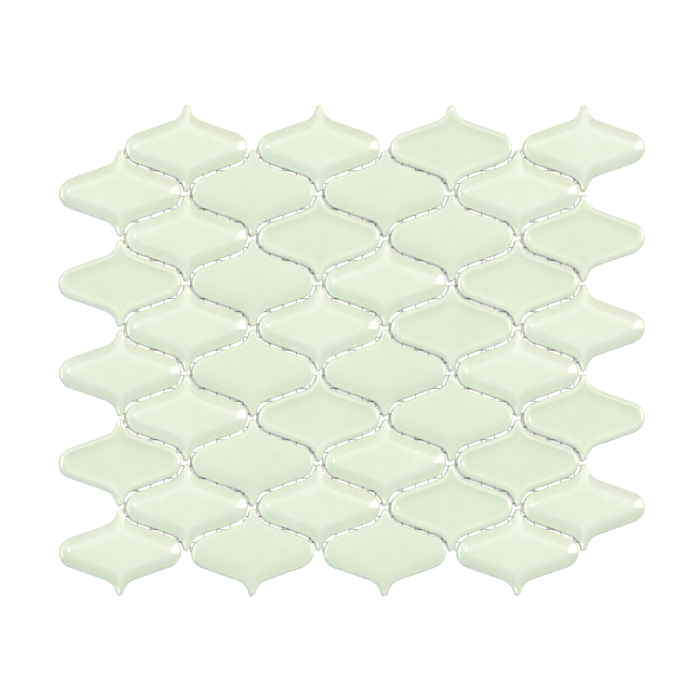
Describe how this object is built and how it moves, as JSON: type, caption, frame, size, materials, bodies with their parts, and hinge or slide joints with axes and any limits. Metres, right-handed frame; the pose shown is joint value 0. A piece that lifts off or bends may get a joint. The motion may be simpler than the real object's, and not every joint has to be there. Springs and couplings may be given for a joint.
{
  "type": "mosaic tile sheet",
  "caption": "Flat mosaic sheet of glazed lantern-shaped ceramic tiles in staggered columns, with bevelled, dished and plain faces, on a backing net for covering a wall or floor.",
  "frame": {"origin": "middle of the sheet's outline, on the underside of the backing net", "axes": "+Z out of the glazed faces, +X across the columns of tiles, +Y up the columns"},
  "size_m": [0.3148, 0.2642, 0.0081],
  "materials": {
    "glazed_tile": "gloss pale green glaze",
    "net_thread": "coated glass-fibre thread"
  },
  "bodies": {
    "root": {"bevelled_tile_1_1": "glazed_tile", "bevelled_tile_1_3": "glazed_tile", "bevelled_tile_1_5": "glazed_tile", "bevelled_tile_2_1": "glazed_tile", "bevelled_tile_2_2": "glazed_tile", "bevelled_tile_2_3": "glazed_tile", "bevelled_tile_2_4": "glazed_tile", "bevelled_tile_2_5": "glazed_tile", "bevelled_tile_4_1": "glazed_tile", "bevelled_tile_4_3": "glazed_tile", "bevelled_tile_4_5": "glazed_tile", "bevelled_tile_5_2": "glazed_tile", "bevelled_tile_5_4": "glazed_tile", "bevelled_tile_7_1": "glazed_tile", "bevelled_tile_7_3": "glazed_tile", "bevelled_tile_7_5": "glazed_tile", "bevelled_tile_8_1": "glazed_tile", "bevelled_tile_8_3": "glazed_tile", "bevelled_tile_8_5": "glazed_tile", "dished_tile_1_2": "glazed_tile", "dished_tile_1_4": "glazed_tile", "dished_tile_4_2": "glazed_tile", "dished_tile_4_4": "glazed_tile", "dished_tile_6_1": "glazed_tile", "dished_tile_6_3": "glazed_tile", "dished_tile_6_5": "glazed_tile", "dished_tile_7_2": "glazed_tile", "dished_tile_7_4": "glazed_tile", "dished_tile_8_2": "glazed_tile", "dished_tile_8_4": "glazed_tile", "plain_tile_3_1": "glazed_tile", "plain_tile_3_2": "glazed_tile", "plain_tile_3_3": "glazed_tile", "plain_tile_3_4": "glazed_tile", "plain_tile_3_5": "glazed_tile", "plain_tile_5_1": "glazed_tile", "plain_tile_5_3": "glazed_tile", "plain_tile_5_5": "glazed_tile", "plain_tile_6_2": "glazed_tile", "plain_tile_6_4": "glazed_tile", "net_crosswise": "net_thread", "net_lengthwise": "net_thread"}
  },
  "joints": []
}
